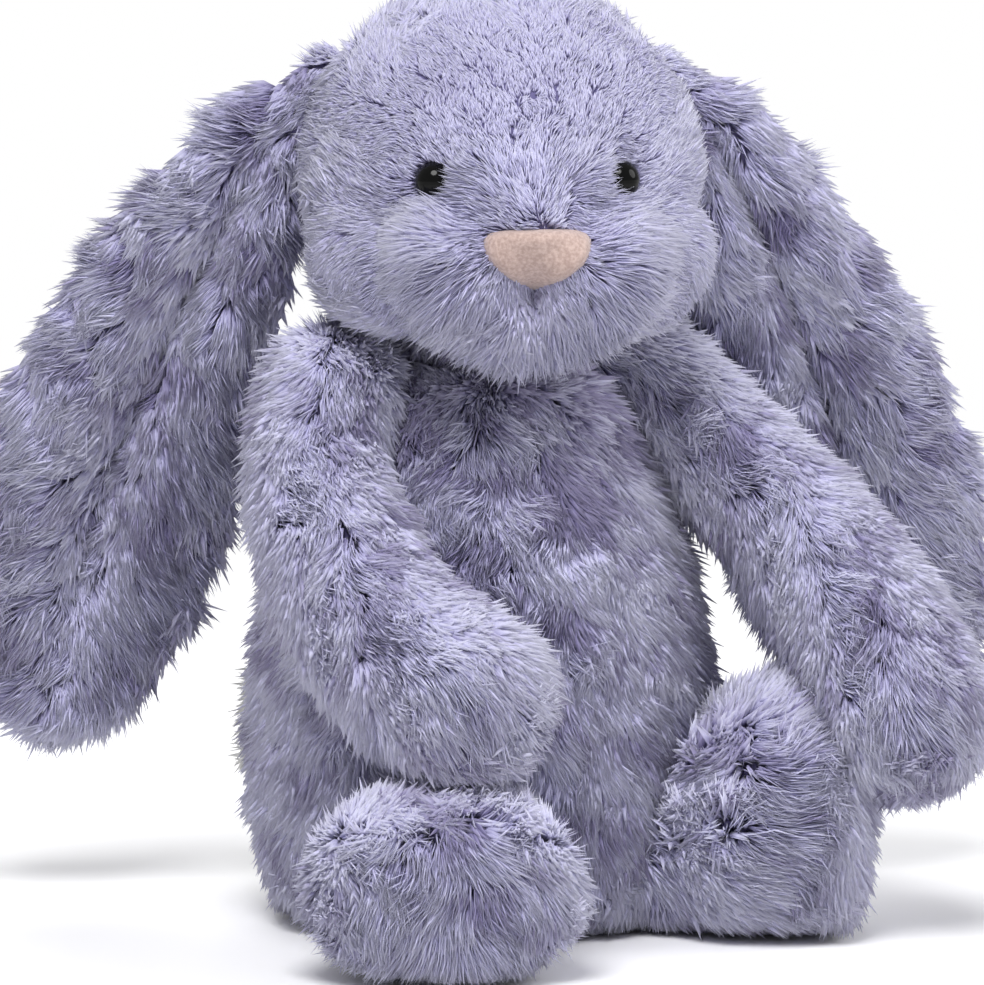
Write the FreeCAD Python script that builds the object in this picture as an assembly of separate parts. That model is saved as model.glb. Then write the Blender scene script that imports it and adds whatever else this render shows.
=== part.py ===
"""A sitting stuffed bunny with long lop ears, as the separate pieces that it is sewn from.

Row frame, in millimetres: +Z up, the bunny faces -Y, and its own right side is at -X. The origin is the
centre of the flat seat that it sits on. Every soft part is a cover of pile fabric round its own stuffing.
The right paw rests on the right leg, the left paw hangs in front of the left foot, and the head is turned
towards the bunny's right.
"""

import FreeCAD
import Part

import math
import os

V = FreeCAD.Vector
UP = V(0, 0, 1)

# ---- driving dimensions ----
CLOTH = 2.4          # backing cloth with its pile pressed flat
EASE = 0.25          # room between one piece and the next
JOINT_GAP = 0.5      # room between a limb and what it swings past
THREAD = 0.7         # radius of a doubled sewing thread

SEAT_RADIUS = 35.0
TORSO_HEIGHT = 119.0
BELLY_RADIUS = 48.0
TORSO_DEPTH_RATIO = 0.94
# (share of the torso's height, share of the belly's radius) up the torso's outline
TORSO_OUTLINE = [(0.035, 0.83), (0.12, 0.94), (0.24, 0.99), (0.38, 1.0), (0.52, 0.965), (0.66, 0.885),
                 (0.79, 0.755), (0.90, 0.59), (0.97, 0.45)]
COLLAR_RADIUS = 17.0

NECK_RADIUS = 12.0
NECK_BALL_RADIUS = 12.5
NECK_PIVOT_HEIGHT = TORSO_HEIGHT + 12.0
NECK_BACK = 2.0
NECK_SINK = 12.0     # how far the neck plug reaches down into the torso

HEAD_HALF_WIDTH, HEAD_HALF_DEPTH, HEAD_HALF_HEIGHT = 41.0, 44.0, 39.0
HEAD_CENTRE_HEIGHT = TORSO_HEIGHT + 44.5
HEAD_FORWARD, HEAD_SIDEWAYS = 13.0, 4.0
HEAD_TURN = -23.0    # degrees about +Z, from facing straight ahead
MUZZLE_FORWARD, MUZZLE_DROP = 20.0, 14.0
MUZZLE_HALF_WIDTH, MUZZLE_HALF_DEPTH, MUZZLE_HALF_HEIGHT = 31.0, 29.0, 23.0
NOSE_HALF_WIDTH, NOSE_HALF_HEIGHT, NOSE_THICK, NOSE_DROP = 11.5, 7.0, 1.6, 14.3

EYE_RADIUS, EYE_SPREAD, EYE_RISE, EYE_SINK = 4.3, 19.5, 0.3, 1.2
EYE_TURN = 38.0      # degrees that each eye looks outwards
SHANK_RADIUS, SHANK_LENGTH = 1.6, 11.0
WASHER_RADIUS, WASHER_THICK = 5.5, 1.2

EAR_LAYER = 2.8      # thickness of each of the ear's two layers
EAR_ROOT_SIDE, EAR_ROOT_BACK, EAR_ROOT_HEIGHT = HEAD_HALF_WIDTH + 3.5, 16.0, HEAD_CENTRE_HEIGHT + 15.5
EAR_DROP = 139.0     # from root to tip
EAR_TIP_SIDE, EAR_TIP_BACK = BELLY_RADIUS + 50.0, BELLY_RADIUS + 5.0
EAR_TIP_HEIGHT = EAR_ROOT_HEIGHT - EAR_DROP
EAR_BOW = 6.0        # how far the ear's middle swings out past a straight line
EAR_WIDTH, EAR_ROOT_WIDTH, EAR_TIP_WIDTH = 51.0, 9.0, 9.0
EAR_WIDEST = 0.66    # share of the ear's length where it is widest
EAR_FOLD = 7.0       # depth of the channel that the folded root gives the ear

SHOULDER_SIDE = BELLY_RADIUS - 9.5
SHOULDER_FRONT, SHOULDER_HEIGHT, SHOULDER_RADIUS = 3.0, TORSO_HEIGHT - 2.0, 11.5
FOREARM_RADIUS, PAW_RADIUS = 12.5, 16.0
# each arm from the shoulder to the middle of its paw, as it lies round the belly: shares of the belly's
# radius outwards and forwards, and a share of the arm's fall downwards
ARM_RIGHT_STEPS = [(0.152, 0.146, 0.222), (0.240, 0.458, 0.513), (0.1875, 0.854, 0.829), (0.069, 1.25, 1.0)]
ARM_LEFT_STEPS = [(0.210, 0.406, 0.239), (0.371, 0.806, 0.4925), (0.460, 1.148, 0.740), (0.490, 1.448, 1.0)]
SEAM_BACK = 0.66     # how far back on a limb's domed root its seam lies, as a share of the dome's radius

HIP_ANGLE = 40.2     # degrees round the belly from straight ahead
HIP_REACH = BELLY_RADIUS + 3.1
HIP_SIDE = HIP_REACH * math.sin(math.radians(HIP_ANGLE))
HIP_FRONT = HIP_REACH * math.cos(math.radians(HIP_ANGLE))
HIP_RADIUS = 15.5
# (outwards, forwards) from the hip to the ankle, the foot and the sole's seam
LEG_RIGHT_STEPS = [(9.5, 18.5), (14.2, 27.5), (16.2, 32)]
LEG_LEFT_STEPS = [(4.5, 8.5), (9, 14.3), (11, 17.8)]
SOLE_THICK = 4.5
FOOT_LONG, FOOT_SHORT = 26.6, 19.9      # half sizes of a foot; the right one is rolled over on to its side
FLOOR_GAP = 0.8      # pressed pile under a leg
PAW_ROOM = 1.9       # between the right paw and the top of the right foot
LEFT_PAW_LIFT = 34.0     # of the left paw's underside above the floor

TAIL_RADIUS, TAIL_HEIGHT = 17.0, 36.0
BACK_SEAM_FROM, BACK_SEAM_LENGTH = 0.5, 0.3    # shares of the torso's height
POUCH_HALF_WIDTH, POUCH_HALF_DEPTH, POUCH_HALF_HEIGHT = 24.0, 13.0, 9.0
POUCH_BACK, POUCH_CLOTH = 18.0, 1.2
FOOT_POUCH_RADIUS = 7.5

RING_POINTS = 12
DOME_ANGLES = (28, 52, 70, 83)     # degrees up a tube's domed end at which it has a ring


# ---- shape helpers ----
def ellipsoid(centre, half_x, half_y, half_z, turn=0.0):
    """An ellipsoid on the row's axes, then turned about a vertical line through its centre."""
    scale = FreeCAD.Matrix()
    scale.A11, scale.A22, scale.A33 = half_x, half_y, half_z
    solid = Part.makeSphere(1.0).transformGeometry(scale)
    solid.rotate(V(0, 0, 0), UP, turn)
    solid.translate(centre)
    return solid


def ring(centre, side, rise, half_side, half_rise):
    """A closed smooth loop round centre, in the plane of the unit vectors side and rise."""
    points = []
    for i in range(RING_POINTS):
        angle = 2 * math.pi * i / RING_POINTS
        points.append(centre + side * (half_side * math.cos(angle)) + rise * (half_rise * math.sin(angle)))
    curve = Part.BSplineCurve()
    curve.interpolate(Points=points, PeriodicFlag=True)
    return Part.Wire([curve.toShape()])


def across(direction):
    """Two unit vectors across a direction: the level one, then the one that rises."""
    side = direction.cross(UP)
    side.normalize()
    rise = side.cross(direction)
    rise.normalize()
    return side, rise


def tube(stations, inset=0.0, open_end=False, overrun=0.0):
    """A stuffed tube through (centre, half width, half height) stations, domed at its ends.

    inset shrinks it evenly for the inside of its cover. With open_end the tube lies level and its last end
    is flat, overrun past its station.
    """
    rings = []
    last = len(stations) - 1
    for i, (centre, wide, high) in enumerate(stations):
        before = stations[max(i - 1, 0)][0]
        after = stations[min(i + 1, last)][0]
        direction = after - before
        if open_end:
            direction.z = 0
        direction.normalize()
        side, rise = across(direction)
        wide, high = wide - inset, high - inset
        reach = min(wide, high) * (-1 if i == 0 else 1)
        dome = []
        for angle in DOME_ANGLES:
            out, shrink = math.sin(math.radians(angle)), math.cos(math.radians(angle))
            dome.append(ring(centre + direction * (reach * out), side, rise, wide * shrink, high * shrink))
        if i == 0:
            rings += reversed(dome)
        push = overrun if i == last and open_end else 0.0
        rings.append(ring(centre + direction * push, side, rise, wide, high))
        if i == last and not open_end:
            rings += dome
    return Part.makeLoft(rings, True, False)


def torso_form(inset=0.0):
    """The pear shape of the torso, with a flat seat."""
    sections = [(inset, SEAT_RADIUS - inset)]
    sections += [(TORSO_HEIGHT * rise, BELLY_RADIUS * share - inset) for rise, share in TORSO_OUTLINE]
    sections += [(TORSO_HEIGHT - inset, COLLAR_RADIUS - inset)]
    rings = []
    for height, radius in sections:
        rings.append(ring(V(0, 0, height), V(1, 0, 0), V(0, 1, 0), radius, radius * TORSO_DEPTH_RATIO))
    return Part.makeLoft(rings, True, False)


def root_seam(root, way, radius):
    """The thread that sews a limb's domed root on, in the middle of its cloth."""
    middle = radius - CLOTH / 2
    return thread_ring(root - way * (middle * SEAM_BACK), way, middle * math.sqrt(1 - SEAM_BACK**2))


def thread_ring(centre, direction, radius):
    """A seam's thread, drawn up into a ring round a direction."""
    return Part.makeTorus(radius, THREAD, centre, direction)


def head_place(sideways, forward, height):
    """A row-frame point from the turned head's own left, its front, and a height above the seat."""
    turn = math.radians(HEAD_TURN)
    left = V(math.cos(turn), math.sin(turn), 0)
    front = V(math.sin(turn), -math.cos(turn), 0)
    neck = V(0, NECK_BACK, 0)
    point = neck + left * (sideways + HEAD_SIDEWAYS) + front * (forward + HEAD_FORWARD)
    return point + UP * height


def head_way(sideways, forward, rise=0.0):
    """A direction given in the turned head's own left, front and up."""
    turn = math.radians(HEAD_TURN)
    way = V(math.cos(turn), math.sin(turn), 0) * sideways + V(math.sin(turn), -math.cos(turn), 0) * forward
    way = way + UP * rise
    way.normalize()
    return way


def shell(outer, inner):
    return outer.cut(inner)


# ---- the soft forms ----
def head_form(inset=0.0):
    skull = ellipsoid(
        head_place(0, 0, HEAD_CENTRE_HEIGHT),
        HEAD_HALF_WIDTH - inset, HEAD_HALF_DEPTH - inset, HEAD_HALF_HEIGHT - inset, HEAD_TURN,
    )
    muzzle = ellipsoid(
        head_place(0, MUZZLE_FORWARD, HEAD_CENTRE_HEIGHT - MUZZLE_DROP),
        MUZZLE_HALF_WIDTH - inset, MUZZLE_HALF_DEPTH - inset, MUZZLE_HALF_HEIGHT - inset, HEAD_TURN,
    )
    return skull.fuse(muzzle)


def arm_stations(steps, side, fall):
    shoulder = V(side * SHOULDER_SIDE, -SHOULDER_FRONT, SHOULDER_HEIGHT)
    centres = [shoulder]
    for out, ahead, down in steps:
        centres.append(shoulder + V(side * out * BELLY_RADIUS, -ahead * BELLY_RADIUS, -down * fall))
    last = len(centres) - 1
    stations = []
    for i, centre in enumerate(centres):
        share = i / last
        if share < 0.4:
            radius = SHOULDER_RADIUS + (FOREARM_RADIUS - SHOULDER_RADIUS) * share / 0.4
        else:
            radius = FOREARM_RADIUS + (PAW_RADIUS - FOREARM_RADIUS) * (share - 0.4) / 0.6
        stations.append((centre, radius, radius))
    return stations


def leg_stations(side, steps, foot_wide, foot_high):
    """Hip, ankle, foot and sole. The foot's underside stays level with the leg's."""
    ankle_wide = (HIP_RADIUS + 2 * foot_wide) / 3
    ankle_high = (HIP_RADIUS + 2 * foot_high) / 3
    sizes = [(HIP_RADIUS, HIP_RADIUS), (ankle_wide, ankle_high), (foot_wide, foot_high)]
    sizes += [(foot_wide - 1.5, foot_high - 1.0)]
    centres = [(side * (HIP_SIDE + out), -HIP_FRONT - ahead) for out, ahead in [(0, 0)] + steps]
    stations = []
    for (x, y), (wide, high) in zip(centres, sizes):
        stations.append((V(x, y, FLOOR_GAP + high), wide, high))
    return stations


def ear_layer(side, low, high):
    """One layer of an ear, between two distances in front of the ear's middle surface."""
    shares = [0.0, 0.14, 0.34, 0.56, 0.78, 0.93, 1.0]
    wires = []
    to_tip = 1 - EAR_WIDEST
    for share in shares:
        bow = EAR_BOW * math.sin(math.pi * share)
        sideways = EAR_ROOT_SIDE + (EAR_TIP_SIDE - EAR_ROOT_SIDE) * share + bow
        back = EAR_ROOT_BACK + (EAR_TIP_BACK - EAR_ROOT_BACK) * math.sin(share * math.pi / 2)
        height = EAR_ROOT_HEIGHT + (EAR_TIP_HEIGHT - EAR_ROOT_HEIGHT) * share
        middle = head_place(side * sideways, -back, height)
        run = EAR_TIP_SIDE - EAR_ROOT_SIDE + EAR_BOW * math.pi * math.cos(math.pi * share)
        drop = EAR_ROOT_HEIGHT - EAR_TIP_HEIGHT
        outward = head_way(side * drop, 0, run)
        front = head_way(0, 1)
        if share < EAR_WIDEST:
            width = EAR_ROOT_WIDTH + (EAR_WIDTH - EAR_ROOT_WIDTH) * math.sin(math.pi * share / EAR_WIDEST / 2)
        else:
            fade = math.sqrt(max(0.0, 1 - ((share - EAR_WIDEST) / to_tip) ** 2))
            width = EAR_TIP_WIDTH + (EAR_WIDTH - EAR_TIP_WIDTH) * fade
        fold = EAR_FOLD * (1 - share) * math.sin(math.pi * min(1.0, share * 1.6 + 0.1))
        fold = max(fold, 0.0)
        face = []
        for at, depth in ((-1, low), (-0.5, low), (0, low), (0.5, low), (1, low),
                          (1, high), (0.5, high), (0, high), (-0.5, high), (-1, high)):
            edge = abs(at)
            point = middle + outward * (at * width / 2) + front * (fold * edge ** 1.5 + depth)
            face.append(point)
        curve_low, curve_high = Part.BSplineCurve(), Part.BSplineCurve()
        curve_low.interpolate(Points=face[:5])
        curve_high.interpolate(Points=face[5:])
        wires.append(
            Part.Wire([
                curve_low.toShape(),
                Part.makeLine(face[4], face[5]),
                curve_high.toShape(),
                Part.makeLine(face[9], face[0]),
            ])
        )
    return Part.makeLoft(wires, True, False)


# ---- the pieces ----
def make_torso(parts):
    neck_hole = Part.makeCylinder(
        NECK_RADIUS + JOINT_GAP, TORSO_HEIGHT, V(0, NECK_BACK, TORSO_HEIGHT - NECK_SINK - JOINT_GAP)
    )
    outer, inner, core = torso_form(), torso_form(CLOTH), torso_form(CLOTH + EASE)
    for side in (-1, 1):
        at = V(side * HIP_SIDE, -HIP_FRONT, HIP_RADIUS + FLOOR_GAP)
        outer = outer.cut(Part.makeSphere(HIP_RADIUS + JOINT_GAP, at))
        inner = inner.cut(Part.makeSphere(HIP_RADIUS + JOINT_GAP + CLOTH, at))
        core = core.cut(Part.makeSphere(HIP_RADIUS + JOINT_GAP + CLOTH + EASE, at))
    cover = shell(outer, inner).cut(neck_hole)
    core = core.cut(neck_hole)
    pouch_centre = V(0, POUCH_BACK, CLOTH + 2 * EASE + POUCH_HALF_HEIGHT)
    pouch = ellipsoid(pouch_centre, POUCH_HALF_WIDTH, POUCH_HALF_DEPTH, POUCH_HALF_HEIGHT)
    pouch_room = ellipsoid(
        pouch_centre, POUCH_HALF_WIDTH + EASE, POUCH_HALF_DEPTH + EASE, POUCH_HALF_HEIGHT + EASE
    )
    pouch_inside = ellipsoid(
        pouch_centre,
        POUCH_HALF_WIDTH - POUCH_CLOTH, POUCH_HALF_DEPTH - POUCH_CLOTH, POUCH_HALF_HEIGHT - POUCH_CLOTH,
    )
    fill_less = POUCH_CLOTH + EASE
    pellets = ellipsoid(
        pouch_centre,
        POUCH_HALF_WIDTH - fill_less, POUCH_HALF_DEPTH - fill_less, POUCH_HALF_HEIGHT - fill_less,
    )
    seam_foot = V(-THREAD, 0, TORSO_HEIGHT * BACK_SEAM_FROM)
    back_seam = Part.makeBox(2 * THREAD, 2 * BELLY_RADIUS, TORSO_HEIGHT * BACK_SEAM_LENGTH, seam_foot)
    neck_thread_at = V(0, NECK_BACK, TORSO_HEIGHT - CLOTH / 2)
    neck_thread = thread_ring(neck_thread_at, UP, NECK_RADIUS + JOINT_GAP + 2 * THREAD)
    parts["torso_cover"] = cover.cut(back_seam).cut(neck_thread)
    parts["back_closing_seam"] = cover.common(back_seam)
    parts["neck_seam_thread"] = neck_thread
    parts["torso_stuffing"] = core.cut(pouch_room)
    parts["seat_pouch"] = shell(pouch, pouch_inside)
    parts["seat_pellets"] = pellets


def make_tail(parts):
    back = BELLY_RADIUS * TORSO_DEPTH_RATIO
    centre = V(0, back + TAIL_RADIUS + EASE, TAIL_HEIGHT)
    seam = thread_ring(centre + V(0, -TAIL_RADIUS * 0.8, 0), V(0, 1, 0), TAIL_RADIUS * 0.6)
    ball = Part.makeSphere(TAIL_RADIUS, centre)
    parts["tail_cover"] = shell(ball, Part.makeSphere(TAIL_RADIUS - CLOTH, centre)).cut(seam)
    parts["tail_stuffing"] = Part.makeSphere(TAIL_RADIUS - CLOTH - EASE, centre)
    parts["tail_seam_thread"] = seam


def make_neck(parts):
    base = V(0, NECK_BACK, TORSO_HEIGHT - NECK_SINK)
    pivot = V(0, NECK_BACK, NECK_PIVOT_HEIGHT)
    stem = Part.makeCylinder(NECK_RADIUS - 2, NECK_PIVOT_HEIGHT - base.z, base)
    plug = Part.makeCylinder(NECK_RADIUS, NECK_SINK - 1, base)
    parts["neck_stuffing"] = plug.fuse([stem, Part.makeSphere(NECK_BALL_RADIUS, pivot)])


def make_head(parts):
    pivot = V(0, NECK_BACK, NECK_PIVOT_HEIGHT)
    outer = head_form()
    cover, core = shell(outer, head_form(CLOTH)), head_form(CLOTH + EASE)
    socket = Part.makeSphere(NECK_BALL_RADIUS + JOINT_GAP, pivot)
    mouth_drop = NECK_PIVOT_HEIGHT - HEAD_CENTRE_HEIGHT + HEAD_HALF_HEIGHT + 2
    throat = Part.makeCone(
        NECK_BALL_RADIUS + JOINT_GAP + 5, NECK_RADIUS - 2 + JOINT_GAP, mouth_drop, pivot - UP * mouth_drop
    )
    opening = socket.fuse(throat)
    cover, core = cover.cut(opening), core.cut(opening)

    nose_at = head_place(0, 0, HEAD_CENTRE_HEIGHT - NOSE_DROP)
    front = head_way(0, 1)
    reach = MUZZLE_FORWARD + MUZZLE_HALF_DEPTH * 1.5
    nose_outline = ring(nose_at, front.cross(UP), UP, NOSE_HALF_WIDTH, NOSE_HALF_HEIGHT)
    pad = Part.Face(nose_outline).extrude(front * reach)
    nose = head_form(-NOSE_THICK).cut(head_form(-EASE / 5)).common(pad)

    for name, side in (("right", -1), ("left", 1)):
        turn = math.radians(EYE_TURN)
        way = head_way(side * math.sin(turn), math.cos(turn))
        far = head_place(side * EYE_SPREAD, 0, HEAD_CENTRE_HEIGHT + EYE_RISE)
        skin = outer.common(Part.makeLine(far, far + head_way(0, 1) * (2 * HEAD_HALF_DEPTH))).Vertexes
        centre = max((v.Point for v in skin), key=lambda p: p.sub(far).Length) - way * EYE_SINK
        back = centre - way * SHANK_LENGTH
        bead = Part.makeSphere(EYE_RADIUS, centre)
        shank = Part.makeCylinder(SHANK_RADIUS, SHANK_LENGTH, back, way)
        washer_at = centre - way * (CLOTH + EYE_RADIUS + 2 * EASE)
        washer = Part.makeCylinder(WASHER_RADIUS, WASHER_THICK, washer_at - way * WASHER_THICK, way)
        washer = washer.cut(Part.makeCylinder(SHANK_RADIUS + EASE / 5, SHANK_LENGTH * 2, back - way, way))
        bead_room = Part.makeSphere(EYE_RADIUS + EASE, centre)
        shank_room = Part.makeCylinder(SHANK_RADIUS + EASE, SHANK_LENGTH + 1, back - way, way)
        washer_room = Part.makeCylinder(
            WASHER_RADIUS + EASE, WASHER_THICK + 2 * EASE, washer_at - way * (WASHER_THICK + EASE), way
        )
        room = bead_room.fuse([shank_room, washer_room])
        cover, core = cover.cut(room), core.cut(room)
        parts["eye_" + name] = bead.fuse(shank)
        parts["eye_washer_" + name] = washer
    parts["head_cover"] = cover
    parts["head_stuffing"] = core
    parts["nose_patch"] = nose


def make_ears(parts):
    for name, side in (("right", -1), ("left", 1)):
        root = head_place(side * EAR_ROOT_SIDE, -EAR_ROOT_BACK, EAR_ROOT_HEIGHT)
        tip = head_place(side * EAR_TIP_SIDE, -EAR_TIP_BACK, EAR_TIP_HEIGHT)
        way = tip - root
        way.normalize()
        seam = thread_ring(root + way * (EAR_LAYER * 2), way, EAR_ROOT_WIDTH * 0.55)
        parts["ear_" + name + "_front_layer"] = ear_layer(side, EASE / 2, EAR_LAYER).cut(seam)
        parts["ear_" + name + "_back_layer"] = ear_layer(side, -EAR_LAYER, -EASE / 2).cut(seam)
        parts["ear_" + name + "_root_thread"] = seam


def make_arms(parts):
    arms = (
        ("right", -1, ARM_RIGHT_STEPS, FLOOR_GAP + 2 * FOOT_SHORT + PAW_ROOM + PAW_RADIUS),
        ("left", 1, ARM_LEFT_STEPS, LEFT_PAW_LIFT + PAW_RADIUS),
    )
    for name, side, steps, paw_height in arms:
        stations = arm_stations(steps, side, SHOULDER_HEIGHT - paw_height)
        shoulder = stations[0][0]
        way = stations[1][0] - shoulder
        way.normalize()
        seam = root_seam(shoulder, way, SHOULDER_RADIUS)
        parts["arm_" + name + "_cover"] = shell(tube(stations), tube(stations, CLOTH)).cut(seam)
        parts["arm_" + name + "_stuffing"] = tube(stations, CLOTH + EASE)
        parts["arm_" + name + "_seam_thread"] = seam


def make_legs(parts):
    feet = (
        ("right", -1, LEG_RIGHT_STEPS, FOOT_LONG, FOOT_SHORT),
        ("left", 1, LEG_LEFT_STEPS, FOOT_SHORT, FOOT_LONG),
    )
    for name, side, steps, wide, high in feet:
        stations = leg_stations(side, steps, wide, high)
        end, end_wide, end_high = stations[-1]
        way = end - stations[-2][0]
        way.z = 0
        way.normalize()
        inside = tube(stations, CLOTH, open_end=True, overrun=CLOTH)
        past_end = Part.makeCylinder(3 * FOOT_LONG, 2 * FOOT_LONG, end - way * EASE, way)
        core = tube(stations, CLOTH + 2 * EASE, open_end=True, overrun=CLOTH).cut(past_end)
        pouch_at = end - way * (FOOT_POUCH_RADIUS + CLOTH)
        level, rise = across(way)
        sole_rings = []
        for push, shrink in ((0, 0), (0.45, 0.8), (0.8, 2.5), (1.0, 6.0)):
            middle = end + way * (SOLE_THICK * push)
            sole_rings.append(ring(middle, level, rise, end_wide - shrink, end_high - shrink))
        sole = Part.makeLoft(sole_rings, True, False)
        root = stations[0][0]
        seam = root_seam(root, way, HIP_RADIUS)
        parts["leg_" + name + "_cover"] = shell(tube(stations, open_end=True), inside).cut(seam)
        parts["leg_" + name + "_seam_thread"] = seam
        parts["leg_" + name + "_sole"] = sole
        parts["leg_" + name + "_stuffing"] = core.cut(Part.makeSphere(FOOT_POUCH_RADIUS + EASE, pouch_at))
        parts["leg_" + name + "_pellet_pouch"] = Part.makeSphere(FOOT_POUCH_RADIUS, pouch_at)


def main():
    os.makedirs("parts", exist_ok=True)
    parts = {}
    make_torso(parts)
    make_tail(parts)
    make_neck(parts)
    make_head(parts)
    make_ears(parts)
    make_arms(parts)
    make_legs(parts)
    for name, solid in parts.items():
        good = solid.isValid() and len(solid.Solids) == 1
        print(f"{name}: {solid.Volume / 1000:.2f} cm3, {len(solid.Solids)} solid(s), valid {solid.isValid()}"
              + ("" if good else "  <-- look"))
        solid.exportStep(os.path.join("parts", name + ".step"))


main()
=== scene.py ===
"""Looks of the sitting plush bunny: closed cloth skins, and pile made of small closed strands rooted on them.

Metres, in the row frame: +Z up, the torso faces -Y, the bunny's own right side is at -X.
"""

import math

import bpy
import numpy as np
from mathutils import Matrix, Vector, kdtree
from mathutils.bvhtree import BVHTree


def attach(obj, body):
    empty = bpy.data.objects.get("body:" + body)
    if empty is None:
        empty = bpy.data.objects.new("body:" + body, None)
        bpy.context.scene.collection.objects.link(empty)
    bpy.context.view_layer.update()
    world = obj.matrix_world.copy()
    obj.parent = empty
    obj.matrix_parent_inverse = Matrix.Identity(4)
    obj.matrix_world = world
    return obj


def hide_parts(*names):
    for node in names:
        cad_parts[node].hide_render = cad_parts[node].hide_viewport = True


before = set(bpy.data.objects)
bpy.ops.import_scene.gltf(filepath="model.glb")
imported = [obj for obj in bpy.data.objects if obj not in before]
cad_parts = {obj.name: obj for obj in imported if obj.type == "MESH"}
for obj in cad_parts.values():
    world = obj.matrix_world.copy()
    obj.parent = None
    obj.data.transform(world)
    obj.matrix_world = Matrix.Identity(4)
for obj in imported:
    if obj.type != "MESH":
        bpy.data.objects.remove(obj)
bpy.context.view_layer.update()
MM = 0.001
rng = np.random.default_rng(7)


# ---------------------------------------------------------------- materials
def new_material(name):
    mat = bpy.data.materials.new(name)
    mat.use_nodes = True
    tree = mat.node_tree
    return mat, tree, tree.nodes["Principled BSDF"]


def plain(name, colour, rough=0.8, sheen=0.0, coat=0.0, specular=0.5):
    mat, _, bsdf = new_material(name)
    bsdf.inputs["Base Color"].default_value = (*colour, 1)
    bsdf.inputs["Roughness"].default_value = rough
    bsdf.inputs["Sheen Weight"].default_value = sheen
    bsdf.inputs["Coat Weight"].default_value = coat
    bsdf.inputs["Specular IOR Level"].default_value = specular
    return mat


def pile(name, stops, tones, sheen):
    """Pile colour from the strand's own map: u runs from root to tip, v is the strand's tone."""
    mat, tree, bsdf = new_material(name)
    uv = tree.nodes.new("ShaderNodeUVMap")
    uv.uv_map = "OFBake"
    split = tree.nodes.new("ShaderNodeSeparateXYZ")
    along = tree.nodes.new("ShaderNodeValToRGB")
    tone = tree.nodes.new("ShaderNodeValToRGB")
    mix = tree.nodes.new("ShaderNodeMix")
    mix.data_type = "RGBA"
    mix.blend_type = "MULTIPLY"
    mix.inputs["Factor"].default_value = 1.0
    tree.links.new(uv.outputs["UV"], split.inputs[0])
    tree.links.new(split.outputs["X"], along.inputs["Fac"])
    tree.links.new(split.outputs["Y"], tone.inputs["Fac"])
    tree.links.new(along.outputs["Color"], mix.inputs["A"])
    tree.links.new(tone.outputs["Color"], mix.inputs["B"])
    tree.links.new(mix.outputs["Result"], bsdf.inputs["Base Color"])
    for ramp, wanted in ((along.color_ramp, stops), (tone.color_ramp, tones)):
        while len(ramp.elements) < len(wanted):
            ramp.elements.new(0.5)
        for element, (at, colour) in zip(ramp.elements, wanted):
            element.position = at
            element.color = (*colour, 1)
    bsdf.inputs["Roughness"].default_value = 0.62
    bsdf.inputs["Specular IOR Level"].default_value = 0.25
    bsdf.inputs["Sheen Weight"].default_value = sheen
    bsdf.inputs["Sheen Roughness"].default_value = 0.45
    bsdf.inputs["Sheen Tint"].default_value = (0.9, 0.9, 1.0, 1)
    return mat


LAVENDER = pile(
    "lavender_pile",
    # root to tip: darker towards the root, painted shade deep in the pile
    [
        (0.0, (0.125, 0.105, 0.24)),
        (0.3, (0.33, 0.31, 0.51)),
        (0.7, (0.59, 0.585, 0.78)),
        (1.0, (0.77, 0.77, 0.92)),
    ],
    [(0.0, (0.46, 0.42, 0.54)), (0.5, (0.91, 0.90, 0.93)), (1.0, (1.0, 1.0, 1.0))],
    0.3,
)
CREAM = pile(
    "cream_pile",
    # root to tip: darker towards the root, painted shade deep in the pile
    [(0.0, (0.74, 0.72, 0.68)), (0.4, (0.88, 0.87, 0.84)), (1.0, (0.96, 0.955, 0.93))],
    [(0.0, (0.92, 0.92, 0.92)), (1.0, (1.0, 1.0, 1.0))],
    0.2,
)
# the skins under the pile are dark like the pile's roots: painted shade under the pile
BACKING = plain("lavender_backing", (0.13, 0.115, 0.25), 0.95)
CREAM_BACKING = plain("cream_backing", (0.62, 0.59, 0.54), 0.95)
BEAD = plain("eye_bead", (0.002, 0.002, 0.002), 0.08, specular=0.15)


# ---------------------------------------------------------------- geometry helpers
def add_mesh(name, verts, faces, material, body=None):
    mesh = bpy.data.meshes.new(name)
    mesh.from_pydata([tuple(v) for v in verts], [], [tuple(f) for f in faces])
    mesh.validate()
    obj = bpy.data.objects.new(name, mesh)
    bpy.context.scene.collection.objects.link(obj)
    mesh.materials.append(material)
    mesh.polygons.foreach_set("use_smooth", [True] * len(mesh.polygons))
    if body:
        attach(obj, body)
    return obj


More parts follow.
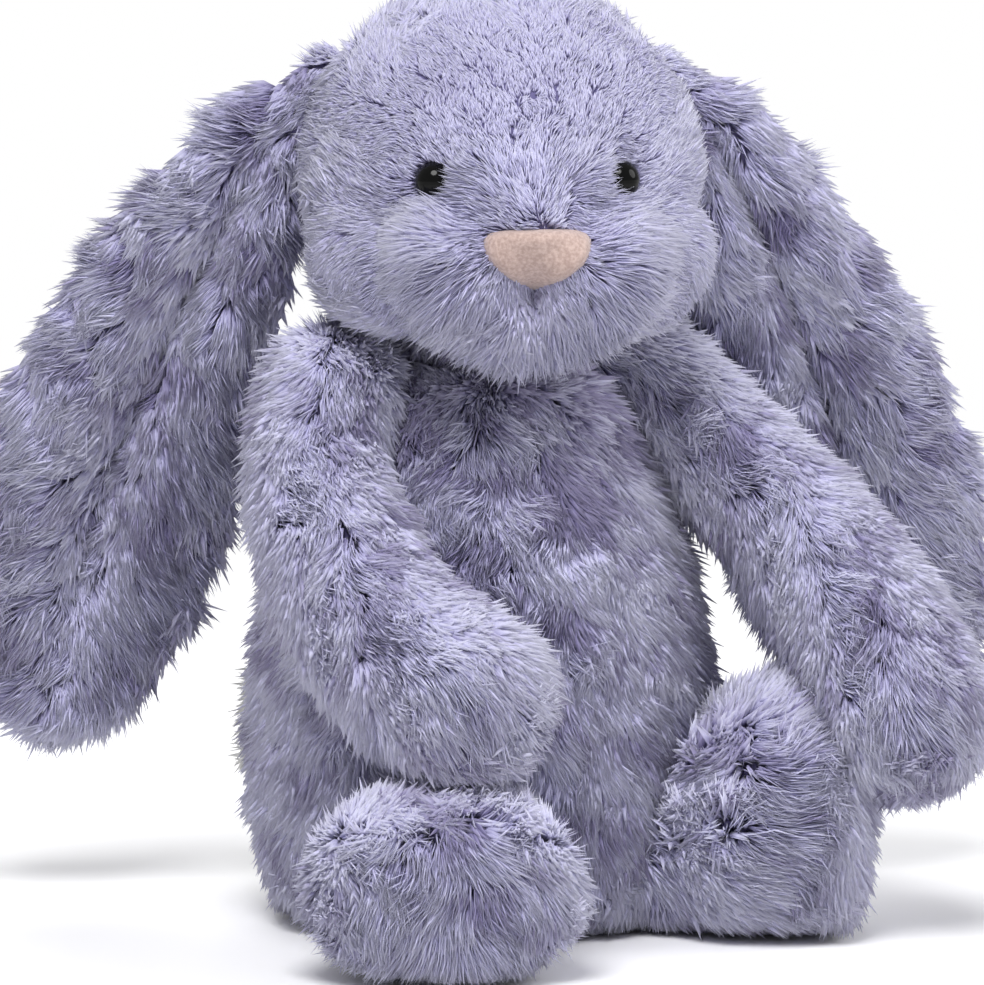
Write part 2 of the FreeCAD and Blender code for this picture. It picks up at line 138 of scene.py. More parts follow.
def blob_mesh(name, blobs, material, body, voxel=1.7, smooth=10, bend=None):
    """A closed smooth skin round ellipsoids, each (centre, radii, 3x3 axes as columns), in millimetres."""
    base = bpy.data.meshes.new(name + "_base")
    verts, faces = [], []
    rows, cols = 16, 24
    for centre, radii, axes in blobs:
        start = len(verts)
        verts.append(centre + axes @ np.array([0, 0, radii[2]]))
        for i in range(1, rows):
            a = math.pi * i / rows
            for j in range(cols):
                b = 2 * math.pi * j / cols
                local = np.array([math.sin(a) * math.cos(b), math.sin(a) * math.sin(b), math.cos(a)]) * radii
                verts.append(centre + axes @ local)
        verts.append(centre + axes @ np.array([0, 0, -radii[2]]))
        for j in range(cols):
            k = (j + 1) % cols
            faces.append((start, start + 1 + j, start + 1 + k))
            for i in range(rows - 2):
                p, q = start + 1 + i * cols, start + 1 + (i + 1) * cols
                faces.append((p + j, q + j, q + k, p + k))
            p = start + 1 + (rows - 2) * cols
            faces.append((p + j, len(verts) - 1, p + k))
    base.from_pydata([tuple(np.asarray(v) * MM) for v in verts], [], faces)
    obj = bpy.data.objects.new(name, base)
    bpy.context.scene.collection.objects.link(obj)
    mod = obj.modifiers.new("join", "REMESH")
    mod.mode = "VOXEL"
    mod.voxel_size = voxel * MM
    soft = obj.modifiers.new("soft", "SMOOTH")
    soft.factor = 0.6
    soft.iterations = smooth
    done = bpy.data.meshes.new_from_object(obj.evaluated_get(bpy.context.evaluated_depsgraph_get()))
    obj.modifiers.clear()
    obj.data = done
    done.name = name
    done.materials.clear()
    done.materials.append(material)
    if bend is not None:
        v = np.empty(len(done.vertices) * 3)
        done.vertices.foreach_get("co", v)
        v = bend(v.reshape(-1, 3) / MM) * MM
        done.vertices.foreach_set("co", v.ravel())
    done.polygons.foreach_set("use_smooth", [True] * len(done.polygons))
    done.update()
    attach(obj, body)
    return obj


def unit(v):
    return v / np.maximum(np.linalg.norm(v, axis=-1, keepdims=True), 1e-9)


def smooth_noise(points, scale, seed, count=10):
    """A smooth vector field, about -1 to 1, that varies over about scale millimetres."""
    r = np.random.default_rng(seed)
    out = np.zeros((len(points), 3))
    for _ in range(count):
        wave = unit(r.normal(size=3)) * 2 * math.pi / (scale * r.uniform(0.7, 1.5))
        out += np.sin(points @ wave + r.uniform(0, 6.28))[:, None] * r.normal(size=3)
    return out / math.sqrt(count)


def along_path(path, points):
    """For each point, the nearest place on a polyline: share of the length, direction and point."""
    path = np.asarray(path, float)
    a, d = path[:-1], path[1:] - path[:-1]
    lengths = np.linalg.norm(d, axis=1)
    before = np.concatenate([[0], np.cumsum(lengths)[:-1]])
    along = np.einsum("nkj,kj->nk", points[:, None, :] - a[None], d)
    t = np.clip(along / (lengths**2)[None], 0, 1)
    near = a[None] + t[..., None] * d[None]
    k = np.argmin(np.linalg.norm(points[:, None, :] - near, axis=2), axis=1)
    i = np.arange(len(points))
    share = (before[k] + t[i, k] * lengths[k]) / lengths.sum()
    return share, d[k] / lengths[k][:, None], near[i, k]


def spline(points, steps=8):
    """Catmull-Rom points through a path."""
    p = np.asarray(points, float)
    p = np.vstack([2 * p[0] - p[1], p, 2 * p[-1] - p[-2]])
    out = []
    for i in range(1, len(p) - 2):
        for s in range(steps):
            t = s / steps
            once = (p[i + 1] - p[i - 1]) * t
            squared = (2 * p[i - 1] - 5 * p[i] + 4 * p[i + 1] - p[i + 2]) * t**2
            cubed = (3 * p[i] - p[i - 1] - 3 * p[i + 1] + p[i + 2]) * t**3
            out.append(0.5 * ((2 * p[i]) + once + squared + cubed))
    out.append(p[-2])
    return np.array(out)


# ---------------------------------------------------------------- pile
MAX_STRANDS = 49000


def sample(obj, density):
    """Evenly scattered points on a skin, with its smooth normals, in millimetres."""
    mesh = obj.data
    mesh.calc_loop_triangles()
    tris = np.empty(len(mesh.loop_triangles) * 3, int)
    mesh.loop_triangles.foreach_get("vertices", tris)
    tris = tris.reshape(-1, 3)
    co = np.empty(len(mesh.vertices) * 3)
    mesh.vertices.foreach_get("co", co)
    co = co.reshape(-1, 3) / MM
    no = np.empty(len(mesh.vertices) * 3)
    mesh.vertices.foreach_get("normal", no)
    no = no.reshape(-1, 3)
    a, b, c = co[tris[:, 0]], co[tris[:, 1]], co[tris[:, 2]]
    area = np.linalg.norm(np.cross(b - a, c - a), axis=1) / 2
    n = int(area.sum() * density)
    pick = np.searchsorted(np.cumsum(area) / area.sum(), (np.arange(n) + rng.random(n)) / n)
    pick = np.minimum(pick, len(area) - 1)
    s, t = rng.random(n), rng.random(n)
    flip = s + t > 1
    s[flip], t[flip] = 1 - s[flip], 1 - t[flip]
    w = np.stack([1 - s - t, s, t], axis=1)[..., None]
    p = (co[tris[pick]] * w).sum(axis=1)
    return p, unit((no[tris[pick]] * w).sum(axis=1))


def fur(skin, flow, density=6.4, length=8.4, width=0.34, lift=0.6, clump=4.0, pull=0.5, swirl=0.6,
        material=LAVENDER, keep=None, size=None, raise_by=None, painted_shade=None, contrast=1.0, seed=1):
    """Clothes a skin in pile that lies along flow(points, normals).

    size and raise_by vary its length and lift from place to place; shade darkens its tone from place to
    place, as painted shade.
    """
    p, n = sample(skin, density)
    if keep is not None:
        wanted = keep(p, n)
        p, n = p[wanted], n[wanted]
    count = len(p)
    way = flow(p, n)
    way = way + swirl * smooth_noise(p, 15, seed) + 0.5 * swirl * smooth_noise(p, 6, seed + 1)
    way = unit(way - n * (way * n).sum(axis=1, keepdims=True))
    up = lift * (1 + 0.35 * smooth_noise(p, 11, seed + 2)[:, :1])
    if raise_by is not None:
        up = up * raise_by(p, n)[:, None]
    long = length * (1 + 0.16 * rng.normal(size=(count, 1))).clip(0.55, 1.4)
    if size is not None:
        long = long * size(p, n)[:, None]
    jitter = rng.normal(size=(count, 3)) * 0.16
    first = unit(n * (up + 0.35) + way * 0.75 + jitter)
    then = unit(n * up * 0.55 + way + jitter * 1.3)
    mid = p + first * long * 0.4
    tip = mid + then * long * 0.6
    # tufts: the tips of neighbours lean together
    centres = np.nonzero(rng.random(count) < 1 / (density * clump**2))[0]
    if len(centres) > 4:
        tree = kdtree.KDTree(len(centres))
        for i, c in enumerate(centres):
            tree.insert(p[c], i)
        tree.balance()
        home = centres[[tree.find(q)[1] for q in p]]
        grip = pull * rng.uniform(0.4, 1.0, (count, 1))
        target = tip[home] * 0.8 + mid[home] * 0.2
        reach = tip + (target - tip) * grip
        tip = mid + unit(reach - mid) * long * 0.6
        mid = mid + (mid[home] - mid) * grip * 0.35
        tuft = rng.random(count)[home]
    else:
        tuft = rng.random(count)
    line = unit(tip - p)
    side = unit(np.cross(line, n) + 1e-6)
    roll = rng.normal(size=(count, 1)) * 0.6
    side = unit(side * np.cos(roll) + np.cross(line, side) * np.sin(roll))
    back = np.cross(side, line)
    wide = width * (1 + 0.2 * rng.normal(size=(count, 1))).clip(0.5, 1.6)
    root = p - n * 0.4
    left = mid + side * wide / 2 - back * wide * 0.18
    right = mid - side * wide / 2 - back * wide * 0.18
    ridge = smooth_noise(p, 24, seed + 3)[:, 0]
    tone = 0.55 + contrast * (0.24 * ridge + 0.62 * (tuft - 0.5) + 0.12 * rng.normal(size=count))
    # painted shade: the strands' tone is darkened where shade would fall
    if painted_shade is not None:
        tone = tone - painted_shade(p, n)
    tone = tone.clip(0.02, 0.98)
    order = np.argsort(p[:, 2])
    chunks = max(1, math.ceil(count / MAX_STRANDS))
    made = []
    for k, ids in enumerate(np.array_split(order, chunks)):
        name = skin.name.replace("_skin", "") + ("_pile" if chunks == 1 else f"_pile_{k + 1}")
        made.append(strand_mesh(name, root[ids], left[ids], right[ids], tip[ids], tone[ids], material, skin))
    return made


def strand_mesh(name, root, left, right, tip, tone, material, skin):
    """Closed four-sided strands. Their own map runs from root to tip, with the strand's tone across it."""
    count = len(root)
    verts = np.stack([root, left, right, tip], axis=1).reshape(-1, 3)
    low = np.tile(np.array([0.05, 0.2, 0.2, 0.5]), count)
    verts[:, 2] = np.maximum(verts[:, 2], low)
    verts *= MM
    base = (np.arange(count) * 4)[:, None, None]
    faces = (np.array([[0, 1, 2], [1, 3, 2], [0, 3, 1], [0, 2, 3]])[None] + base).reshape(-1)
    mesh = bpy.data.meshes.new(name)
    mesh.vertices.add(count * 4)
    mesh.vertices.foreach_set("co", verts.ravel())
    mesh.loops.add(count * 12)
    mesh.loops.foreach_set("vertex_index", faces)
    mesh.polygons.add(count * 4)
    mesh.polygons.foreach_set("loop_start", np.arange(0, count * 12, 3))
    mesh.polygons.foreach_set("loop_total", np.full(count * 4, 3))
    mesh.polygons.foreach_set("use_smooth", np.ones(count * 4, bool))
    mesh.update(calc_edges=True)
    uv = mesh.uv_layers.new(name="OFBake")
    u_of = np.array([0.02, 0.5, 0.5, 0.98])
    u = np.tile(u_of[[0, 1, 2, 1, 3, 2, 0, 3, 1, 0, 2, 3]], count)
    uv.data.foreach_set("uv", np.stack([u, np.repeat(tone, 12)], axis=1).ravel())
    mesh.materials.append(material)
    obj = bpy.data.objects.new(name, mesh)
    bpy.context.scene.collection.objects.link(obj)
    obj.parent = skin
    return obj


# ---------------------------------------------------------------- the bunny's sizes, in millimetres
# (height, radius) up the torso's outline
TORSO = [
    (0.0, 34.5), (4, 40), (14, 45.2), (29, 47.6), (45, 48),
    (62, 46.4), (78.5, 42.6), (94, 36.4), (107, 29), (116, 22.5),
]
TORSO_SQUASH = 0.94
HEAD_TURN = math.radians(-23)
LEFT = np.array([math.cos(HEAD_TURN), math.sin(HEAD_TURN), 0])
FRONT = np.array([math.sin(HEAD_TURN), -math.cos(HEAD_TURN), 0])
UP = np.array([0, 0, 1.0])
HEAD = np.array([0, 2, 163.5]) + LEFT * 4 + FRONT * 13
HEAD_AXES = np.stack([LEFT, FRONT, UP], axis=1)
SQUARE = np.eye(3)
NOSE_SIDE, NOSE_HEIGHT = 1.9, -12.9
NOSE_WIDE, NOSE_TALL_UP, NOSE_TALL_DOWN = 11.4, 3.5, 9.7
EYE_RADIUS = 4.3
EYES = {"left": (20.6, 0.2), "right": (-18.4, 0.2)}


def in_head(p):
    """Row points as (its left, its front, up) from the head's centre."""
    return (p - HEAD) @ HEAD_AXES


def from_head(q):
    return HEAD + np.asarray(q, float) @ HEAD_AXES.T


# ---------------------------------------------------------------- torso
blobs = []
for i in range(len(TORSO) - 1):
    (z0, r0), (z1, r1) = TORSO[i], TORSO[i + 1]
    for s in np.linspace(0, 1, 4, endpoint=False):
        z, r = z0 + (z1 - z0) * s, r0 + (r1 - r0) * s
        blobs.append((np.array([0, 0, z]), np.array([r, r * TORSO_SQUASH, 5.5]), SQUARE))


def seat(v):
    v[:, 2] = np.maximum(v[:, 2], 0.4 + (v[:, 2] - 0.4) * 0.03)
    return v


torso = blob_mesh("torso_skin", blobs, BACKING, "torso", smooth=16, bend=seat)
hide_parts("torso_cover", "torso_stuffing", "seat_pouch", "neck_seam_thread",
            "back_closing_seam")


def torso_flow(p, n):
    out = np.zeros_like(p)
    out[:, 2] = -1
    out[:, :2] += 0.25 * unit(p[:, :2])
    return out


# the pile is short at the floor, and darker from the chest up all round the torso: painted shade, as of the
# head's shadow under the chin
fur(torso, torso_flow, keep=lambda p, n: p[:, 2] > 1.5,
    size=lambda p, n: np.clip(0.45 + p[:, 2] / 18, 0.45, 1.0),
    painted_shade=lambda p, n: 0.3 * np.clip((p[:, 2] - 78) / 25, 0, 1), seed=11)

NECK = [(112, 14), (119, 16), (126, 17), (132, 15)]     # (height, radius)
neck = blob_mesh(
    "neck_skin",
    [(np.array([0, 2, z]), np.array([r, r, 6.0]), SQUARE) for z, r in NECK],
    BACKING, "neck", smooth=4,
)
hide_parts("neck_stuffing")
fur(neck, torso_flow, density=4.0, length=7.0, keep=lambda p, n: (p[:, 2] > 116) & (n[:, 2] < 0.7), seed=21)

# ---------------------------------------------------------------- head
HEAD_BLOBS = [
    ((0, 0, 1), (40.5, 44, 38.5)),
    ((0, 16, -12), (32, 26, 24)),
    ((12, 29, -18), (16.5, 17, 13.5)),
    ((-12, 29, -18), (16.5, 17, 13.5)),
    ((0, 33, -8), (13, 14.5, 12)),
    ((0, 27, -27), (16, 15, 9)),
    ((25, 14, -16), (16, 20, 16)),
    ((-25, 14, -16), (16, 20, 16)),
]


def face_dents(v):
    """Eye sockets, and the cleft that runs down from the nose between the muzzle's two puffs."""
    q = in_head(v)
    front = np.clip(q[:, 1] / 20, 0, 1)
    dent = np.zeros(len(v))
    for sideways, height in EYES.values():
        away = np.hypot(q[:, 0] - sideways * 1.03, (q[:, 2] - height) * 1.05)
        dent += 3.6 * np.exp(-((away / 8.5) ** 2))
    cleft = np.exp(-(((q[:, 0] - NOSE_SIDE) / 3.2) ** 2)) * np.clip((NOSE_HEIGHT - 4 - q[:, 2]) / 5, 0, 1)
    dent += 4.5 * cleft * np.clip((q[:, 2] + 36) / 8, 0, 1)
    return v - FRONT[None] * (dent * front)[:, None]


head = blob_mesh(
    "head_skin",
    [(from_head(c), np.array(r, float), HEAD_AXES) for c, r in HEAD_BLOBS],
    BACKING, "head", smooth=12, bend=face_dents,
)
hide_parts("head_cover", "head_stuffing")
head_tree = BVHTree.FromObject(head, bpy.context.evaluated_depsgraph_get())


def face_point(sideways, height):
    """Where the face's skin is, straight ahead of the head's middle plane."""
    start = from_head((sideways, 120, height)) * MM
    hit = head_tree.ray_cast(Vector(start), Vector(-FRONT))
    return np.array(hit[0]) / MM, np.array(hit[1])


def nose_outline(angle):
    """Half sizes of the nose at an angle round it: a rounded triangle that points down."""
    x, z = math.cos(angle), math.sin(angle)
    if z > 0:
        return NOSE_WIDE * math.copysign(abs(x) ** 0.6, x), NOSE_TALL_UP * z**0.55
    return NOSE_WIDE * math.copysign(abs(x) ** 1.7, x), -NOSE_TALL_DOWN * abs(z) ** 1.05


def nose_share(q):
    """How far out each point in head terms is: under 1 inside the nose's outline."""
    x, z = np.abs(q[:, 0] - NOSE_SIDE) / NOSE_WIDE, q[:, 2] - NOSE_HEIGHT
    top = x ** (2 / 0.6) + (np.maximum(z, 0) / NOSE_TALL_UP) ** (2 / 0.55)
    low = x ** (2 / 1.7) + (np.maximum(-z, 0) / NOSE_TALL_DOWN) ** (2 / 1.05)
    return np.where(z > 0, top, low)


eye_points = {}
for side, (sideways, height) in EYES.items():
    eye_points[side] = face_point(sideways, height)


def face_keep(p, n):
    q = in_head(p)
    ok = ~((nose_share(q) < 0.6) & (q[:, 1] > 20))
    for at, _ in eye_points.values():
        ok &= np.linalg.norm(p - at, axis=1) > 3.6
    return ok


def face_flow(p, n):
    q = in_head(p)
    out = q - np.array([NOSE_SIDE, 40.0, NOSE_HEIGHT + 4])
    out[:, 1] *= 0.9
    low = np.clip((NOSE_HEIGHT - q[:, 2]) / 12, 0, 1) * np.clip((q[:, 1] - 15) / 15, 0, 1)
    out[:, 2] -= low * 18
    out[:, 0] += np.sign(q[:, 0] - NOSE_SIDE) * low * 8
    return unit(out @ HEAD_AXES.T)


def face_size(p, n):
    q = in_head(p)
    from_nose = np.linalg.norm(q - np.array([NOSE_SIDE, 42, NOSE_HEIGHT]), axis=1)
    base = np.clip(0.40 + (from_nose - 14) / 90, 0.40, 0.95)
    muzzle = np.exp(-(((from_nose - 20) / 8) ** 2)) * np.clip((8 - q[:, 2]) / 14, 0, 1)
    crown = np.clip((q[:, 2] + 2) / 20, 0, 1) * np.clip(q[:, 1] / 25, 0, 1) * 0.52
    size = base + 0.8 * muzzle - crown * base
    for at, _ in eye_points.values():
        size *= 1 - 0.4 * np.exp(-((np.linalg.norm(p - at, axis=1) / 7) ** 2))
    return size


def face_lift(p, n):
    q = in_head(p)
    from_nose = np.linalg.norm(q - np.array([NOSE_SIDE, 42, NOSE_HEIGHT]), axis=1)
    return 0.8 + 1.1 * np.exp(-(((from_nose - 18) / 8) ** 2)) * np.clip((8 - q[:, 2]) / 14, 0, 1)


fur(head, face_flow, density=7.6, length=7.4, width=0.31, lift=0.42, clump=3.0, pull=0.4, swirl=0.4,
    keep=face_keep, size=face_size, raise_by=face_lift, contrast=0.35, seed=31)

# nose: a thin domed patch on the front of the muzzle
verts, faces = [], []
rings, spokes = 9, 40
for r in range(rings + 1):
    for k in range(spokes):
        a = 2 * math.pi * k / spokes
        wide, tall = nose_outline(a)
        share = r / rings
        x, z = NOSE_SIDE + wide * share, NOSE_HEIGHT + tall * share
        skin_at, _ = face_point(x, z)
        dome = 3.6 * (1 - share**3) ** 0.5 + 1.2
        verts.append(skin_at + FRONT * dome)
for r in range(rings):
    for k in range(spokes):
        m = (k + 1) % spokes
        faces.append((r * spokes + k, (r + 1) * spokes + k, (r + 1) * spokes + m, r * spokes + m))
outer = rings * spokes
start = len(verts)
for k in range(spokes):
    verts.append(verts[outer + k] - FRONT * 3.5)
for k in range(spokes):
    m = (k + 1) % spokes
    faces.append((outer + k, start + k, start + m, outer + m))
faces.append([start + k for k in range(spokes)][::-1])
mat, tree, bsdf = new_material("suede_nose")
coords = tree.nodes.new("ShaderNodeTexCoord")
grain = tree.nodes.new("ShaderNodeTexNoise")
grain.inputs["Scale"].default_value = 1400
grain.inputs["Detail"].default_value = 4
ramp = tree.nodes.new("ShaderNodeValToRGB")
ramp.color_ramp.elements[0].position, ramp.color_ramp.elements[1].position = 0.35, 0.68
ramp.color_ramp.elements[0].color = (0.36, 0.255, 0.225, 1)
ramp.color_ramp.elements[1].color = (0.52, 0.39, 0.35, 1)
bump = tree.nodes.new("ShaderNodeBump")
bump.inputs["Strength"].default_value = 0.35
bump.inputs["Distance"].default_value = 0.0004
tree.links.new(coords.outputs["Object"], grain.inputs["Vector"])
tree.links.new(grain.outputs["Fac"], ramp.inputs["Fac"])
tree.links.new(ramp.outputs["Color"], bsdf.inputs["Base Color"])
tree.links.new(grain.outputs["Fac"], bump.inputs["Height"])
tree.links.new(bump.outputs["Normal"], bsdf.inputs["Normal"])
bsdf.inputs["Roughness"].default_value = 0.9
bsdf.inputs["Sheen Weight"].default_value = 0.4
nose = add_mesh("nose_pad", np.array(verts) * MM, faces, mat, "head")
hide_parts("nose_patch")

for side, (at, normal) in eye_points.items():
    centre = at + normal * 0.3
    bpy.ops.mesh.primitive_uv_sphere_add(
        segments=48, ring_count=32, radius=EYE_RADIUS * MM, location=Vector(centre * MM)
    )
    bead = bpy.context.object
    bead.name = f"eye_bead_{side}"
    bead.data.materials.append(BEAD)
    bpy.ops.object.shade_smooth()
    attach(bead, "head")
    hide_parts(f"eye_{side}")

# ---------------------------------------------------------------- ears
EAR_ROOT, EAR_TIP = (44.5, 16.0, 179.0), (98.0, 53.0, 40.0)
EAR_BOW, EAR_WIDTH, EAR_WIDEST = 6.0, 51.0, 0.66
EAR_ROWS, EAR_COLS = 64, 48


def ear_middle(side, share):
    """A point down the ear's middle."""
    bow = EAR_BOW * np.sin(np.pi * share)
    sideways = EAR_ROOT[0] + (EAR_TIP[0] - EAR_ROOT[0]) * share + bow
    back = EAR_ROOT[1] + (EAR_TIP[1] - EAR_ROOT[1]) * np.sin(share * np.pi / 2)
    height = EAR_ROOT[2] + (EAR_TIP[2] - EAR_ROOT[2]) * share
    if share < 0.06:
        tuck = (0.06 - share) / 0.12
        sideways -= 9 * tuck
        height -= 3 * tuck
    return np.array([0, 2, 0.0]) + LEFT * (side * sideways + 4) + FRONT * (13 - back) + UP * height


def ear_width(share):
    if share < EAR_WIDEST:
        return 13 + (EAR_WIDTH - 13) * math.sin(math.pi * max(share, 0) / EAR_WIDEST / 2)
    fade = math.sqrt(max(0.0, 1 - ((share - EAR_WIDEST) / (1 - EAR_WIDEST)) ** 2))
    return EAR_WIDTH * fade**0.9


def ear_across(side, share):
    way = unit(ear_middle(side, share + 0.02) - ear_middle(side, share - 0.02))
    across = unit(np.cross(way, FRONT))
    return across if (across @ LEFT) * side > 0 else -across


def ear_skin(name, side):
    """A soft leaf, folded lengthwise so that a valley runs down its front between two rolled lobes."""
    verts, faces = [], []
    for i in range(EAR_ROWS + 1):
        share = -0.06 + 1.06 * (1 - (1 - i / EAR_ROWS) ** 1.25)
        at, outward = ear_middle(side, share), ear_across(side, share)
        wide = max(ear_width(share), 1.0)
        thick = min(3.6, wide * 0.30)
        deep = min(1.0, max(share, 0) * 6 + 0.2) * max(0.0, 1 - max(share - 0.55, 0) / 0.42)
        for j in range(EAR_COLS):
            a = 2 * math.pi * j / EAR_COLS
            t = math.cos(a)
            lobe = 1 + 0.5 * deep * math.sin(math.pi * min(1.0, abs(t) * 1.05))
            body = math.sin(a) * thick * lobe * (1 - 0.3 * t * t)
            fold = 10.5 * deep * (1 - math.exp(-abs(t) * 2.6)) * min(1.0, wide / 30)
            curl = -5.0 * deep * max(0.0, abs(t) - 0.62) * min(1.0, wide / 30) * 2
            verts.append(at + outward * (t * wide / 2) + FRONT * (fold + curl + body - 2.5 * deep))
    for i in range(EAR_ROWS):
        for j in range(EAR_COLS):
            k = (j + 1) % EAR_COLS
            quad = (i * EAR_COLS + j, i * EAR_COLS + k, (i + 1) * EAR_COLS + k, (i + 1) * EAR_COLS + j)
            faces.append(quad if side > 0 else quad[::-1])
    ends = [list(range(EAR_COLS))[::-1], list(range(EAR_ROWS * EAR_COLS, (EAR_ROWS + 1) * EAR_COLS))]
    faces += ends if side > 0 else [e[::-1] for e in ends]
    return add_mesh(name, np.array(verts) * MM, faces, BACKING, "ear_left" if side > 0 else "ear_right")


for word, side in (("right", -1), ("left", 1)):
    ear = ear_skin(f"ear_{word}_skin", side)
    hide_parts(f"ear_{word}_front_layer", f"ear_{word}_back_layer", f"ear_{word}_root_thread")
    middle = np.array([ear_middle(side, s) for s in np.linspace(-0.05, 1.0, 24)])
    outward = ear_across(side, 0.5)

    def ear_flow(p, n, middle=middle, outward=outward):
        share, way, near = along_path(middle, p)
        across = ((p - near) @ outward)[:, None]
        return way + 0.75 * outward * np.tanh(across / 5) * np.clip(share * 2, 0.2, 1)[:, None]

    def ear_size(p, n, middle=middle, outward=outward):
        share, way, near = along_path(middle, p)
        valley = np.exp(-((((p - near) @ outward) / 5) ** 2)) * (n @ FRONT > 0.2)
        return np.clip(0.55 + share * 4, 0.55, 1.0) * (1 - 0.3 * valley)

    fur(ear, ear_flow, density=6.0, length=9.0, lift=0.5, clump=4.6, pull=0.6, size=ear_size, seed=51 + side)

# ---------------------------------------------------------------- arms
ARMS = {
    "right": [
        (-33, 2, 118), (-38.5, -3, 117), (-45.8, -10, 104),
        (-50, -25, 87), (-47.5, -44, 68), (-41.5, -63, 57.5),
    ],
    "left": [
        (33, 2, 118), (38.5, -3, 117), (48.6, -22.5, 101),
        (56.3, -41.7, 84), (60.6, -58.1, 67.4), (62, -72.5, 50),
    ],
}
for word, path in ARMS.items():
    line = spline(path, 6)
    shares = np.linspace(0, 1, len(line))
    radii = np.interp(shares, [0, 0.2, 0.5, 0.82, 1.0], [9.5, 11.0, 11.6, 14.6, 15.2])
    arm = blob_mesh(
        f"arm_{word}_skin",
        [(c, np.array([r, r, r]), SQUARE) for c, r in zip(line, radii)],
        BACKING, f"arm_{word}", smooth=10,
    )
    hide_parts(f"arm_{word}_cover", f"arm_{word}_stuffing", f"arm_{word}_seam_thread")

    def arm_flow(p, n, line=line):
        share, way, near = along_path(line, p)
        return way + 0.15 * unit(p - near) - 0.25 * UP

    fur(arm, arm_flow, density=6.2, length=8.6, lift=0.55, seed=71)

# ---------------------------------------------------------------- legs
HIP_RADIUS = 15.5
# the middle line from the hip to the sole, and half the foot's width and height
LEGS = {
    "right": (
        [(-27, -30, 16.3), (-33, -39, 16.3), (-42.5, -57.5, 19), (-47.2, -66.5, 19.3), (-49.4, -71.5, 18.8)],
        (25.6, 18.4),
    ),
    "left": (
        [(27, -30, 16.3), (33, -39, 16.3), (37, -47.5, 25), (47.5, -52.0, 27.8), (52.0, -55.5, 27.0)],
        (24.5, 27),
    ),
}
for word, (path, (wide, high)) in LEGS.items():
    path = np.array(path, float)
    way = unit((path[-1] - path[2]) * [1, 1, 0])
    level = np.array([-way[1], way[0], 0.0])
    axes = np.stack([level, way, UP], axis=1)
    steps = []
    ankle = ((HIP_RADIUS + 2 * wide) / 3, (HIP_RADIUS + 2 * high) / 3)
    sizes = [(15, 15), (HIP_RADIUS, HIP_RADIUS), ankle, (wide, high), (wide - 2, high - 1.5)]
    for i in range(4):
        for s in np.linspace(0, 1, 4, endpoint=i == 3):
            c = path[i] * (1 - s) + path[i + 1] * s
            w = sizes[i][0] * (1 - s) + sizes[i + 1][0] * s
            h = sizes[i][1] * (1 - s) + sizes[i + 1][1] * s
            depth = 7.0 if i >= 2 else 12.0
            steps.append((c, np.array([w, depth, h]), axes))
    leg = blob_mesh(f"leg_{word}_skin", steps, BACKING, f"leg_{word}", smooth=12)
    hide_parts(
        f"leg_{word}_cover", f"leg_{word}_sole", f"leg_{word}_stuffing", f"leg_{word}_seam_thread",
        f"leg_{word}_pellet_pouch",
    )
    sole_at = path[-1]

    def leg_flow(p, n, way=way, sole_at=sole_at):
        facing = np.clip(n @ way, 0, 1)[:, None]
        out = p - (sole_at + way * 2 + UP * 12)
        spread = out / (np.linalg.norm(out, axis=1, keepdims=True) + 10)
        return way * (1 - facing) + (spread * 1.3 - 0.55 * UP) * facing

    fur(leg, leg_flow, density=6.2, length=8.5, lift=0.5, keep=lambda p, n: p[:, 2] > 1.2,
        size=lambda p, n: np.clip(0.35 + p[:, 2] / 14, 0.35, 1.0), seed=91)

# ---------------------------------------------------------------- tail
tail_at = np.array([0, 62.4, 36.0])
tail_size = np.array([17.0, 17.0, 17.0])
tail = blob_mesh("tail_skin", [(tail_at, tail_size, SQUARE)], CREAM_BACKING, "torso", smooth=3)
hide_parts("tail_cover", "tail_stuffing", "tail_seam_thread")
fur(tail, lambda p, n: unit(p - tail_at) - 0.4 * UP, density=4.0, length=9.5, lift=1.2, clump=5.0, pull=0.6,
    material=CREAM, seed=111)

# ---------------------------------------------------------------- stage, light and camera
floor_mat, tree, bsdf = new_material("floor")
bsdf.inputs["Base Color"].default_value = (0.95, 0.95, 0.96, 1)
bsdf.inputs["Roughness"].default_value = 0.9
spot = tree.nodes.new("ShaderNodeTexCoord")
away_from_toy = tree.nodes.new("ShaderNodeVectorMath")
away_from_toy.operation = "LENGTH"
fade = tree.nodes.new("ShaderNodeMapRange")
fade.interpolation_type = "SMOOTHSTEP"
fade.inputs["From Min"].default_value = 0.22
fade.inputs["From Max"].default_value = 0.9
white = tree.nodes.new("ShaderNodeEmission")
white.inputs["Color"].default_value = (1, 1, 1, 1)
blend_out = tree.nodes.new("ShaderNodeMixShader")
tree.links.new(spot.outputs["Object"], away_from_toy.inputs[0])
tree.links.new(away_from_toy.outputs["Value"], fade.inputs["Value"])
tree.links.new(fade.outputs["Result"], blend_out.inputs[0])
tree.links.new(bsdf.outputs[0], blend_out.inputs[1])
tree.links.new(white.outputs[0], blend_out.inputs[2])
tree.links.new(blend_out.outputs[0], tree.nodes["Material Output"].inputs["Surface"])
bpy.ops.mesh.primitive_plane_add(size=30, location=(0, 0, -0.0002))
floor = bpy.context.object
floor.name = "floor"
floor.data.materials.append(floor_mat)

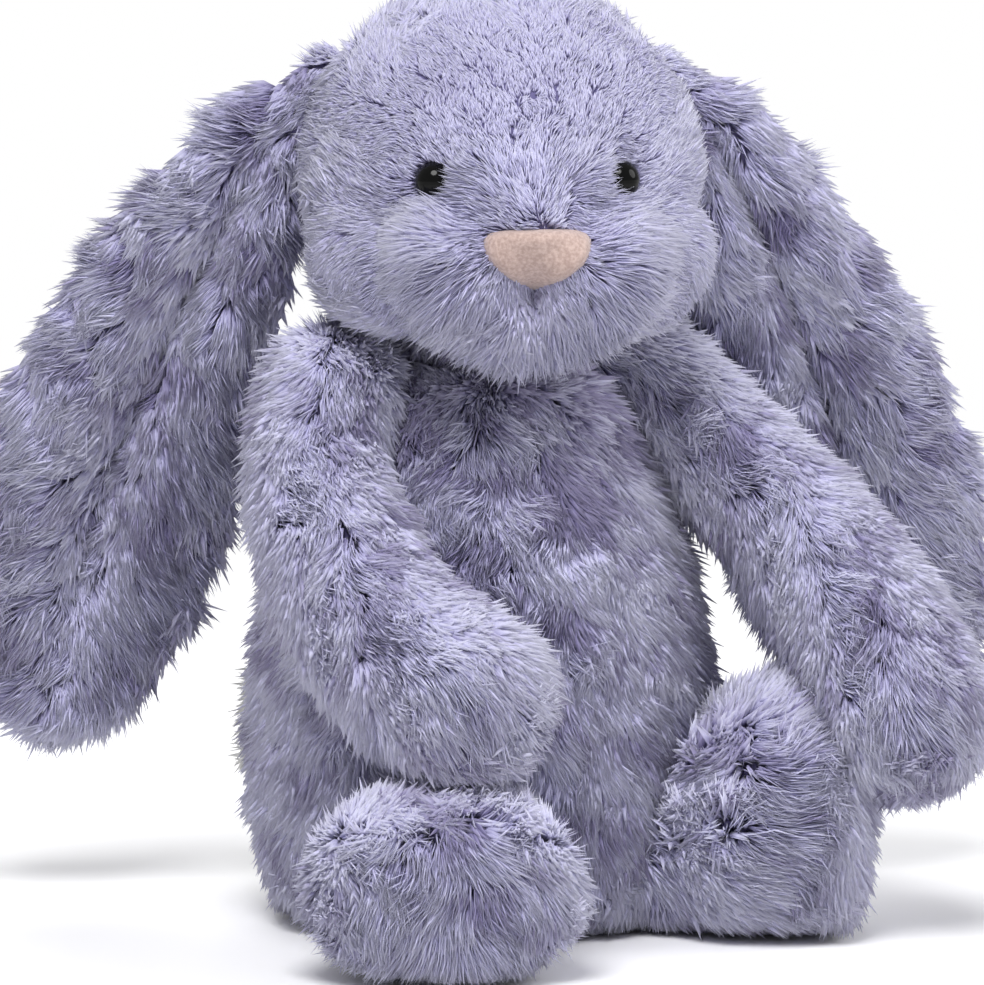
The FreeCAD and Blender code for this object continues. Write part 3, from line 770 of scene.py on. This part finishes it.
world = bpy.data.worlds.new("studio")
bpy.context.scene.world = world
world.use_nodes = True
sky = world.node_tree.nodes["Background"]
sky.inputs["Color"].default_value = (1, 1, 1, 1)
sky.inputs["Strength"].default_value = 0.5
seen = world.node_tree.nodes.new("ShaderNodeBackground")
seen.inputs["Color"].default_value = (1, 1, 1, 1)
seen.inputs["Strength"].default_value = 1.05
rays = world.node_tree.nodes.new("ShaderNodeLightPath")
either = world.node_tree.nodes.new("ShaderNodeMixShader")
world.node_tree.links.new(rays.outputs["Is Camera Ray"], either.inputs[0])
world.node_tree.links.new(sky.outputs[0], either.inputs[1])
world.node_tree.links.new(seen.outputs[0], either.inputs[2])
world.node_tree.links.new(either.outputs[0], world.node_tree.nodes["World Output"].inputs["Surface"])


def area(name, at, target, size, power, colour=(1, 1, 1)):
    data = bpy.data.lights.new(name, "AREA")
    data.shape = "DISK"
    data.size = size
    data.energy = power
    data.color = colour
    obj = bpy.data.objects.new(name, data)
    obj.location = at
    obj.rotation_euler = (Vector(target) - Vector(at)).to_track_quat("-Z", "Y").to_euler()
    bpy.context.scene.collection.objects.link(obj)


AIM = (0, 0, 0.1)
area("key", (-0.62, -0.75, 1.35), AIM, 0.8, 22)
area("fill", (0.9, -0.6, 0.7), AIM, 0.8, 6)
area("rim", (0.3, 0.9, 0.9), AIM, 0.7, 5)

CAMERA_AZIMUTH, CAMERA_ELEVATION, CAMERA_DISTANCE, CAMERA_LENS = -30.0, 5.5, 1.4, 232.6
AIM_RIGHT, AIM_RISE = 0.0024, 0.093     # of the picture's centre from the row frame's origin
az, el = math.radians(CAMERA_AZIMUTH), math.radians(CAMERA_ELEVATION)
away = Vector((math.sin(az) * math.cos(el), -math.cos(az) * math.cos(el), math.sin(el)))
right = Vector((math.cos(az), math.sin(az), 0))
rise = away.cross(right)
target = right * AIM_RIGHT + rise * AIM_RISE
cam_data = bpy.data.cameras.new("camera")
cam_data.lens = CAMERA_LENS
cam_data.sensor_width = 36
cam = bpy.data.objects.new("camera", cam_data)
cam.location = target + away * CAMERA_DISTANCE
cam.rotation_mode = "QUATERNION"
cam.rotation_quaternion = (-away).to_track_quat("-Z", "Y")
bpy.context.scene.collection.objects.link(cam)
bpy.context.scene.camera = cam
bpy.context.scene.view_settings.view_transform = "Standard"
bpy.context.scene.view_settings.look = "None"
